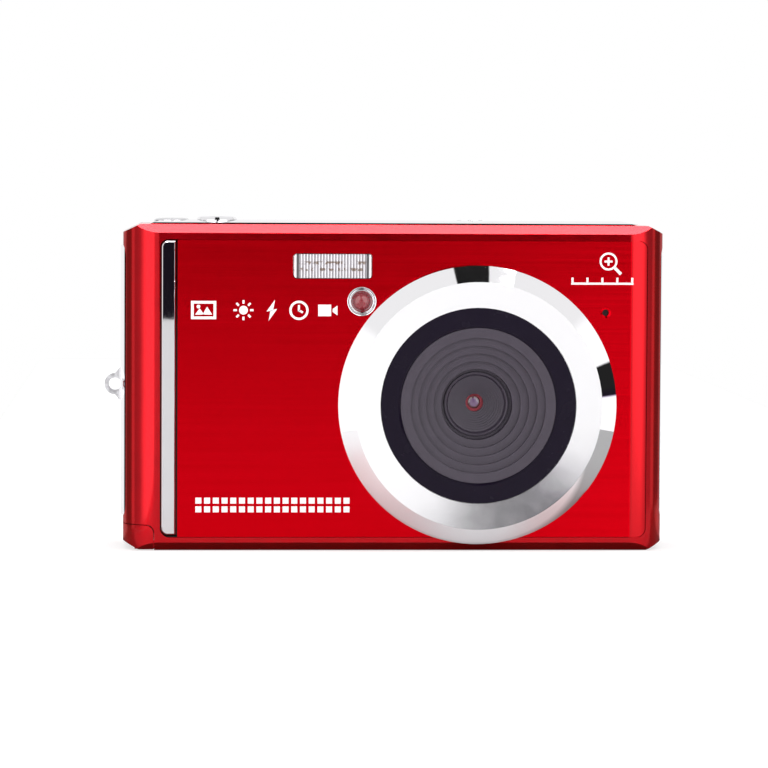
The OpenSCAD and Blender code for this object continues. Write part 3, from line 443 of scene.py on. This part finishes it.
LOOKS = {
    "red_shell": make_red_shell(),
    "red_panel": make_red_panel(),
    "chrome": make_chrome(),
    "satin_silver": plain("satin_silver", (0.72, 0.72, 0.74), 1.0, 0.26, 0.05, 0.008, (9, 9, 9)),
    "black_gloss": plain("black_gloss", (0.007, 0.004, 0.012), 0.0, 0.25, 0,
                         specular_ior_level=0.12),
    "black_matte": plain("black_matte", (0.022, 0.022, 0.024), 0.0, 0.55, 0.25, 0.02, (5, 5, 5)),
    "hood_grey": make_hood_grey(),
    "coated_glass": make_lens_glass(),
    "filter_glass": plain("filter_glass", (0.55, 0.75, 0.8), 0.0, 0.05, 0,
                          transmission_weight=0.7),
    "clear_plastic": make_clear_plastic(),
    "red_lens": make_red_lens(),
    "green_board": make_board(),
    "steel": plain("steel", (0.58, 0.58, 0.6), 1.0, 0.3, 0.1, 0.01, (0.3, 6, 6)),
    "dark_steel": plain("dark_steel", (0.09, 0.09, 0.1), 1.0, 0.35, 0.1, 0.01, (5, 5, 5)),
    "gold": plain("gold", (0.85, 0.6, 0.22), 1.0, 0.22, 0.03),
    "battery_wrap": make_battery_wrap(),
    "capacitor_sleeve": plain("capacitor_sleeve", (0.015, 0.015, 0.03), 0.0, 0.25, 0.03),
    "window_black": make_screen_window(),
    "screen": plain("screen", (0.03, 0.035, 0.045), 0.0, 0.15, 0),
    "foam": plain("foam", (0.015, 0.015, 0.015), 0.0, 0.9, 0.5, 0.05, (4, 4, 4)),
    "amber_film": plain("amber_film", (0.5, 0.22, 0.04), 0.0, 0.3, 0.05),
    "green_light": plain("green_light", (0.12, 0.5, 0.16), 0.0, 0.2, 0),
}
RING_METAL = make_ring_metal()
DARK_CHROME = make_chrome("dark_chrome", (0.66, 0.65, 0.67))
BRIGHT_PRINT = plain("bright_print", (0.88, 0.87, 0.88), 0.0, 0.45, 0.03)
DARK_PRINT = plain("dark_print", (0.03, 0.03, 0.035), 0.0, 0.5, 0.03)

for entry in frame["record"]["subparts"]:
    NODES[entry["node"]].data.materials[0] = LOOKS[entry["material_slot"]]
NODES["lens_bezel"].data.materials[0] = RING_METAL
NODES["accent_strip"].data.materials[0] = DARK_CHROME
NODES["lamp_bezel"].data.materials[0] = DARK_CHROME
NODES["side_band"].data.materials[0] = make_band_chrome()


# ---------------------------------------------------------------- mesh helpers

def new_piece(name, builder, look, body, smooth=False):
    """Makes a mesh object from a bmesh in mm, and sets it riding on a body."""
    builder.normal_update()
    mesh = bpy.data.meshes.new(name)
    for vertex in builder.verts:
        vertex.co *= MM
    builder.to_mesh(mesh)
    builder.free()
    mesh.materials.append(look)
    if smooth:
        mesh.shade_smooth()
        mesh.set_sharp_from_angle(angle=math.radians(35))
    piece = bpy.data.objects.new(name, mesh)
    bpy.context.scene.collection.objects.link(piece)
    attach(piece, body)
    return piece


def raise_faces(builder, faces, step):
    """Extrudes flat faces by a step and keeps the result closed."""
    out = bmesh.ops.extrude_face_region(builder, geom=faces, use_keep_orig=True)
    moved = [g for g in out["geom"] if isinstance(g, bmesh.types.BMVert)]
    bmesh.ops.translate(builder, verts=moved, vec=step)
    bmesh.ops.recalc_face_normals(builder, faces=builder.faces[:])


def flat_shapes(polygons, y, thick):
    """Closed plates from convex polygons in X and Z at a height y. Thick is signed along Y."""
    builder = bmesh.new()
    for points in polygons:
        verts = [builder.verts.new((px, y, pz)) for px, pz in points]
        face = builder.faces.new(verts)
        raise_faces(builder, [face], (0, thick, 0))
    return builder


def skin(builder, rings):
    """Joins four-cornered rings into one closed skin."""
    for a, b in zip(rings, rings[1:]):
        for k in range(4):
            builder.faces.new((a[k], a[(k + 1) % 4], b[(k + 1) % 4], b[k]))
    builder.faces.new(rings[0])
    builder.faces.new(rings[-1])
    bmesh.ops.recalc_face_normals(builder, faces=builder.faces[:])


def ring_parts(cx, cz, outer, inner, steps=24):
    """A ring as a row of four-cornered pieces."""
    parts = []
    for k in range(steps):
        a = math.tau * k / steps
        b = math.tau * (k + 1) / steps
        parts.append([(cx + r * math.cos(t), cz + r * math.sin(t))
                      for r, t in ((inner, a), (outer, a), (outer, b), (inner, b))])
    return parts


def disc(cx, cz, r, steps=20):
    return [[(cx + r * math.cos(math.tau * k / steps), cz + r * math.sin(math.tau * k / steps))
             for k in range(steps)]]


def bar(x0, z0, x1, z1, width):
    """A straight stroke between two points."""
    dx, dz = x1 - x0, z1 - z0
    size = math.hypot(dx, dz)
    nx, nz = -dz / size * width / 2, dx / size * width / 2
    return [[(x0 + nx, z0 + nz), (x0 - nx, z0 - nz), (x1 - nx, z1 - nz), (x1 + nx, z1 + nz)]]


def frame_outline(cx, cz, w, h, stroke):
    """The four sides of an upright rectangle."""
    x0, x1, z0, z1 = cx - w / 2, cx + w / 2, cz - h / 2, cz + h / 2
    half = stroke / 2
    return (bar(x0, z0 + half, x1, z0 + half, stroke) + bar(x0, z1 - half, x1, z1 - half, stroke)
            + bar(x0 + half, z0 + stroke, x0 + half, z1 - stroke, stroke)
            + bar(x1 - half, z0 + stroke, x1 - half, z1 - stroke, stroke))


# ---------------------------------------------------------------- plain marks on the front

PRINT = 0.025                   # thickness of the print
LIFT = 0.003                    # its distance from the face below


def front_mark(name, polygons):
    builder = flat_shapes(polygons, PANEL_Y - LIFT, -PRINT)
    new_piece(name, builder, BRIGHT_PRINT, ROOT)


def picture_icon(cx, cz, s):
    """A picture frame with a hill and a sun."""
    hill = [[(cx - 0.75 * s, cz - 0.4 * s), (cx + 0.05 * s, cz - 0.4 * s), (cx - 0.35 * s, cz + 0.15 * s)],
            [(cx - 0.1 * s, cz - 0.4 * s), (cx + 0.75 * s, cz - 0.4 * s), (cx + 0.3 * s, cz + 0.3 * s)]]
    return (frame_outline(cx, cz, 2.2 * s, 1.6 * s, 0.24 * s) + hill
            + disc(cx - 0.45 * s, cz + 0.3 * s, 0.16 * s))


def sun_icon(cx, cz, s):
    rays = []
    for k in range(8):
        c, d = math.cos(math.tau * k / 8), math.sin(math.tau * k / 8)
        rays += bar(cx + 0.62 * s * c, cz + 0.62 * s * d, cx + 0.95 * s * c, cz + 0.95 * s * d, 0.2 * s)
    return disc(cx, cz, 0.42 * s) + rays


def bolt_icon(cx, cz, s):
    return [[(cx + 0.3 * s, cz + s), (cx - 0.5 * s, cz - 0.12 * s), (cx + 0.12 * s, cz - 0.02 * s)],
            [(cx - 0.3 * s, cz - s), (cx + 0.5 * s, cz + 0.12 * s), (cx - 0.12 * s, cz + 0.02 * s)]]


def timer_icon(cx, cz, s):
    return (ring_parts(cx, cz, 0.92 * s, 0.7 * s) + bar(cx, cz - 0.05 * s, cx, cz + 0.5 * s, 0.2 * s)
            + bar(cx, cz, cx + 0.38 * s, cz - 0.2 * s, 0.2 * s))


def film_icon(cx, cz, s):
    """A small film camera seen from the side."""
    body = [[(cx - s, cz - 0.6 * s), (cx + 0.35 * s, cz - 0.6 * s), (cx + 0.35 * s, cz + 0.6 * s),
             (cx - s, cz + 0.6 * s)]]
    horn = [[(cx + 0.5 * s, cz - 0.15 * s), (cx + s, cz - 0.5 * s), (cx + s, cz + 0.5 * s),
             (cx + 0.5 * s, cz + 0.15 * s)]]
    return body + horn


def zoom_icon(cx, cz, s):
    """A magnifier with a plus sign."""
    return (ring_parts(cx, cz, s, 0.78 * s) + bar(cx - 0.45 * s, cz, cx + 0.45 * s, cz, 0.22 * s)
            + bar(cx, cz + 0.11 * s, cx, cz + 0.45 * s, 0.22 * s)
            + bar(cx, cz - 0.45 * s, cx, cz - 0.11 * s, 0.22 * s)
            + bar(cx + 0.72 * s, cz - 0.72 * s, cx + 1.4 * s, cz - 1.4 * s, 0.34 * s))


def icon_row():
    """Five icons in a row: name, shape, distance along the row and size."""
    x, z = PANEL_LOW.x + 4.3, PANEL_HIGH.z - 11.6
    for name, icon, along, size in (("mark_picture", picture_icon, 0, 1.9),
                                    ("mark_sun", sun_icon, 6.6, 1.75),
                                    ("mark_bolt", bolt_icon, 11.3, 1.75),
                                    ("mark_timer", timer_icon, 15.8, 1.75),
                                    ("mark_film", film_icon, 20.6, 1.6)):
        front_mark(name, icon(x + along, z, size))


def square_grid():
    """Two rows of small squares along the bottom."""
    side, pitch = 1.0, 1.45
    squares = []
    for column in range(18):
        for row in range(2):
            x = PANEL_LOW.x + 3.0 + pitch * column
            z = PANEL_LOW.z + 4.1 + pitch * row
            squares.append([(x, z), (x + side, z), (x + side, z + side), (x, z + side)])
    front_mark("mark_dot_grid", squares)


def zoom_scale():
    """A magnifier over a scale with five ticks, in the upper right corner."""
    front_mark("mark_zoom", zoom_icon(PANEL_HIGH.x - 6.6, PANEL_HIGH.z - 3.3, 1.5))
    stroke, base_z = 0.35, PANEL_HIGH.z - 7
    shapes = bar(PANEL_HIGH.x - 12.8, base_z, PANEL_HIGH.x - 2.4, base_z, stroke)
    for k in range(5):
        tick_x = PANEL_HIGH.x - 12.6 + 2.5 * k
        shapes += bar(tick_x, base_z + 0.2, tick_x, base_z + 1.0, stroke)
    front_mark("mark_zoom_scale", shapes)


icon_row()
square_grid()
zoom_scale()


# ---------------------------------------------------------------- ribbed flash window

def flash_rib_window():
    """Replaces the plain window: a plate whose front is a row of upright lens ribs."""
    x0, x1 = FLASH_LOW.x + FLASH_FLANGE, FLASH_HIGH.x - FLASH_FLANGE
    z0, z1 = FLASH_LOW.z + FLASH_FLANGE, FLASH_HIGH.z - FLASH_FLANGE
    back, crest, valley = FLASH_HIGH.y - 0.75, FLASH_LOW.y, FLASH_LOW.y + 0.22
    corner, cuts = 0.5, 6
    builder = bmesh.new()
    rings = []
    count = FLASH_RIBS * cuts
    for k in range(count + 1):
        x = x0 + (x1 - x0) * k / count
        wave = abs(math.sin(math.pi * k / cuts))
        edge = min(x - x0, x1 - x)
        inset = corner - math.sqrt(max(0, corner ** 2 - max(0, corner - edge) ** 2))
        y = valley + (crest - valley) * wave
        rings.append([builder.verts.new(p) for p in (
            (x, y, z0 + inset), (x, y, z1 - inset), (x, back, z1 - inset), (x, back, z0 + inset))])
    skin(builder, rings)
    piece = new_piece("flash_ribs", builder, make_flash_plastic(), ROOT, True)
    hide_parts("flash_window")


flash_rib_window()


# ---------------------------------------------------------------- rear marks and small parts

def key_mark(name, node, body, polygons_of, size):
    """A dark icon on the outer face of a key."""
    centre, top = mid(node), high_of(node).y
    # Drawn as it is seen from behind, and then mirrored
    builder = flat_shapes(polygons_of(-centre.x, centre.z, size), top + LIFT, PRINT)
    bmesh.ops.scale(builder, vec=(-1, 1, 1), verts=builder.verts[:])
    bmesh.ops.reverse_faces(builder, faces=builder.faces[:])
    new_piece(name, builder, DARK_PRINT, body)


def play_icon(cx, cz, s):
    return [[(cx - 0.6 * s, cz - 0.8 * s), (cx + 0.85 * s, cz), (cx - 0.6 * s, cz + 0.8 * s)]]


def menu_icon(cx, cz, s):
    lines = []
    for k in (-1, 0, 1):
        lines += bar(cx - 0.8 * s, cz + 0.55 * s * k, cx + 0.8 * s, cz + 0.55 * s * k, 0.24 * s)
    return lines


def bin_icon(cx, cz, s):
    body = [[(cx - 0.5 * s, cz - 0.9 * s), (cx + 0.5 * s, cz - 0.9 * s), (cx + 0.65 * s, cz + 0.4 * s),
             (cx - 0.65 * s, cz + 0.4 * s)]]
    return body + bar(cx - 0.85 * s, cz + 0.66 * s, cx + 0.85 * s, cz + 0.66 * s, 0.24 * s)


key_mark("icon_mode", "mode_button", "mode", film_icon, 1.3)
key_mark("icon_playback", "playback_button", "playback", play_icon, 1.2)
key_mark("icon_menu", "menu_button", "menu", menu_icon, 1.4)
key_mark("icon_delete", "delete_button", "delete", bin_icon, 1.2)


def pad_marks():
    """Four arrows on the pad's raised rim."""
    centre, top = mid("nav_ring"), high_of("nav_ring").y
    reach = (high_of("nav_ring").x - low_of("nav_ring").x) / 2 - 1.6
    arrows = []
    for k in range(4):
        c, d = math.cos(math.tau * k / 4), math.sin(math.tau * k / 4)
        px, pz = centre.x + reach * c, centre.z + reach * d
        arrows.append([(px + 0.42 * c, pz + 0.42 * d), (px - 0.3 * c - 0.6 * d, pz - 0.3 * d + 0.6 * c),
                       (px - 0.3 * c + 0.6 * d, pz - 0.3 * d - 0.6 * c)])
    builder = flat_shapes(arrows, top + LIFT, PRINT)
    new_piece("icon_pad_arrows", builder, DARK_PRINT, "pad")


pad_marks()


def rocker_marks():
    """Minus and plus signs on the two ends of the zoom rocker."""
    centre, top = mid("zoom_rocker"), high_of("zoom_rocker").y
    offset = (high_of("zoom_rocker").x - low_of("zoom_rocker").x) / 2 - 2.4
    minus, plus = centre.x + offset, centre.x - offset
    shapes = (bar(minus - 0.8, centre.z, minus + 0.8, centre.z, 0.32)
              + bar(plus - 0.8, centre.z, plus + 0.8, centre.z, 0.32)
              + bar(plus, centre.z + 0.16, plus, centre.z + 0.8, 0.32)
              + bar(plus, centre.z - 0.8, plus, centre.z - 0.16, 0.32))
    builder = flat_shapes(shapes, top + LIFT, PRINT)
    new_piece("icon_zoom_signs", builder, DARK_PRINT, "zoom")


rocker_marks()


def socket_thread():
    """The quarter-inch thread inside the tripod socket: a ridge that winds up the bore."""
    root, crest, pitch, turns, steps = 3.22, 2.85, 1.27, 4, 40
    start_z = 0.65
    centre = mid("tripod_socket")
    builder = bmesh.new()
    profile = ((root, -0.49), (crest, -0.0784), (crest, 0.0784), (root, 0.49))
    rings = []
    for k in range(turns * steps + 1):
        angle = math.tau * k / steps
        z = start_z + pitch * k / steps
        rings.append([builder.verts.new((centre.x + r * math.cos(angle), centre.y + r * math.sin(angle),
                                         z + dz)) for r, dz in profile])
    skin(builder, rings)
    new_piece("socket_thread", builder, LOOKS["steel"], ROOT, True)


socket_thread()


def usb_tongue():
    """The contact tongue inside the USB socket."""
    end_gap = 0.8
    size = (high_of("usb_socket").x - low_of("usb_socket").x - 2 * end_gap, 0.7, 5.4)
    builder = bmesh.new()
    out = bmesh.ops.create_cube(builder, size=1)
    bmesh.ops.scale(builder, vec=size, verts=out["verts"])
    bmesh.ops.translate(builder, vec=mid("usb_socket"), verts=out["verts"])
    bmesh.ops.bevel(builder, geom=builder.edges[:], offset=0.12, segments=2, affect="EDGES")
    new_piece("usb_tongue", builder, LOOKS["black_matte"], ROOT, True)


usb_tongue()


# ---------------------------------------------------------------- studio

FRONT_LEVEL = 1.1               # brightness of each part of the room
SOFTBOX_LEVEL = 2.7
SIDE_LEVEL = 0.8
BACK_LEVEL = 0.3
BACKDROP_LEVEL = 1.0
SCREEN_LEVEL = 1.12
CEILING_LEVEL = 0.9
OVERHEAD_LEVEL = 14.0
DARK_SHARE = 0.015              # what is left of it in the dark parts
FLOOR_X = (-0.08, 0.12)         # sides of the strip of floor, in m
FLOOR_Y = (-0.95, -0.3, 0.0, 0.3, 0.6)
FLOOR_DROP = 0.00002            # keeps the floor just below the object
SHADE_Y = 11.0                  # the floor is painted darker, as shade, within this distance of the object's middle plane, in mm


def grey(level):
    return rgba((level, level, level))


def make_floor():
    """A pale strip of floor, narrow enough for the rounded ends to reflect the softboxes beside it."""
    builder = bmesh.new()
    previous = None
    for y in FLOOR_Y:
        pair = [builder.verts.new((x, y, -FLOOR_DROP)) for x in FLOOR_X]
        if previous:
            builder.faces.new((previous[0], previous[1], pair[1], pair[0]))
        previous = pair
    builder.normal_update()
    mesh = bpy.data.meshes.new("studio_floor")
    builder.to_mesh(mesh)
    builder.free()
    mesh.shade_smooth()
    floor = bpy.data.objects.new("studio_floor", mesh)
    bpy.context.scene.collection.objects.link(floor)
    material, graph, shader = shaded("floor", roughness=0.7, specular_ior_level=0.1)
    mottle = graph.uneven((0.002, 0.002, 0.002), 0, 1)
    pale = graph.mix(mottle, grey(0.83), grey(0.85))
    shade = graph.mix(mottle, grey(0.37), grey(0.39))
    # Painted shade: the floor's colour is darker right under the body, so that the bevels along the bottom
    # stay deep
    painted_shade_under = graph.span(graph.away(graph.place()[1], 0), SHADE_Y - 0.5, SHADE_Y + 0.5, 1, 0)
    graph.put(shader.inputs["Base Color"], graph.mix(painted_shade_under, pale, shade))
    # The camera sees the floor brighter than the polished parts do
    seen = graph.add("ShaderNodeLightPath").outputs["Is Camera Ray"]
    graph.put(shader.inputs["Emission Color"], grey(1.0))
    graph.put(shader.inputs["Emission Strength"], graph.product(seen, 0.65))
    mesh.materials.append(material)


def make_world():
    """Softboxes beside a dark gap behind the camera, a light overhead and a dark card on the right.

    The limits below are parts of a unit direction: x to the right, y away from the camera, z up.
    """
    world = bpy.data.worlds.new("studio")
    bpy.context.scene.world = world
    world.use_nodes = True
    graph = Graph(world.node_tree)
    background = graph.add("ShaderNodeBackground")
    output = graph.add("ShaderNodeOutputWorld")
    graph.put(output.inputs["Surface"], background.outputs[0])
    coord = graph.add("ShaderNodeTexCoord")
    split = graph.add("ShaderNodeSeparateXYZ")
    graph.put(split.inputs[0], coord.outputs["Generated"])
    x, y, z = split.outputs

    def within(value, low, high, soft):
        return graph.band(value, low - soft, low + soft, high - soft, high + soft, True)

    # White in front of the object, a softbox on each side of it, and sides that fall away
    level = graph.span(y, -0.972, -0.955, FRONT_LEVEL, SOFTBOX_LEVEL, True)
    level = graph.mix_numbers(graph.span(y, -0.78, -0.42, 0, 1, True), level, SIDE_LEVEL)
    level = graph.mix_numbers(graph.span(y, -0.42, 0.3, 0, 1), level, BACK_LEVEL)
    level = graph.mix_numbers(graph.span(y, 0.55, 0.7, 0, 1, True), level, BACKDROP_LEVEL)
    # A narrow white screen in the plane of the object, that only polished edges pick up
    screen = within(y, -0.1, 0.12, 0.01)
    level = graph.math("MAXIMUM", level, graph.product(screen, SCREEN_LEVEL))
    # A soft ceiling with a strong narrow light straight above the object
    level = graph.mix_numbers(graph.span(z, 0.5, 0.6, 0, 1, True), level, CEILING_LEVEL)
    overhead = graph.product(within(y, -0.025, 0.09, 0.01), within(x, -0.35, 0.35, 0.02),
                             graph.span(z, 0.85, 0.88, 0, 1, True))
    level = graph.math("MAXIMUM", level, graph.product(overhead, OVERHEAD_LEVEL))
    # Dark upright gap in front, that leans to the left and narrows towards the top
    edge = 0.008
    left_limit = graph.math("MULTIPLY_ADD", z, -0.22, -0.025)
    right_limit = graph.math("MAXIMUM", graph.math("MULTIPLY_ADD", z, -0.46, 0.14), 0.09)
    gap = graph.product(graph.span(graph.math("SUBTRACT", x, left_limit), -edge, edge, 0, 1, True),
                        graph.span(graph.math("SUBTRACT", right_limit, x), -edge, edge, 0, 1, True),
                        graph.span(y, -0.4, -0.3, 1, 0, True))
    # It is blackest and a little violet low down
    high = graph.span(z, 0.02, 0.08, 0, 1, True)
    gap = graph.product(gap, graph.span(high, 0, 1, 1, 0.78))
    # A dark patch straight up, and a dark card on the right
    top = graph.product(within(x, -0.115, 0.16, edge), graph.span(y, -0.03, -0.01, 1, 0, True),
                        graph.span(z, 0.55, 0.65, 0, 1, True))
    card = graph.product(graph.span(x, 0.85, 0.89, 0, 1, True), within(z, 0.005, 0.235, 0.01))
    dark = graph.math("MAXIMUM", graph.math("MAXIMUM", gap, top), card)
    level = graph.product(level, graph.span(dark, 0, 1, 1, DARK_SHARE))
    # The camera itself sees a plain pale room
    seen = graph.add("ShaderNodeLightPath").outputs["Is Camera Ray"]
    violet = graph.product(dark, graph.math("SUBTRACT", 1, high))
    color = graph.mix(violet, grey(1.0), rgba((0.8, 0.6, 1.0)))
    graph.put(background.inputs["Color"], graph.mix(seen, color, grey(1.0)))
    lit = graph.product(level, graph.math("SUBTRACT", 1, seen))
    graph.put(background.inputs["Strength"], graph.math("ADD", lit, seen))


def make_camera():
    """The viewing angle: a little to the left and above, from 0.65 m, with a long lens."""
    distance, azimuth, elevation, roll = 0.65, -3.1, 3.3, 0.3
    aim = Vector((-0.0013, 0, 0.0273))
    a, e = math.radians(azimuth), math.radians(elevation)
    back = Vector((math.sin(a) * math.cos(e), -math.cos(a) * math.cos(e), math.sin(e)))
    data = bpy.data.cameras.new("photo_view")
    data.sensor_width = 36
    data.lens = 180.3
    data.clip_start, data.clip_end = 0.05, 20
    camera = bpy.data.objects.new("photo_view", data)
    turn = (-back).to_track_quat("-Z", "Y").to_matrix().to_4x4()
    camera.matrix_world = (Matrix.Translation(aim + back * distance) @ turn
                           @ Matrix.Rotation(math.radians(roll), 4, "Z"))
    bpy.context.scene.collection.objects.link(camera)
    bpy.context.scene.camera = camera


make_floor()
make_world()
make_camera()
bpy.context.scene.view_settings.view_transform = "Standard"
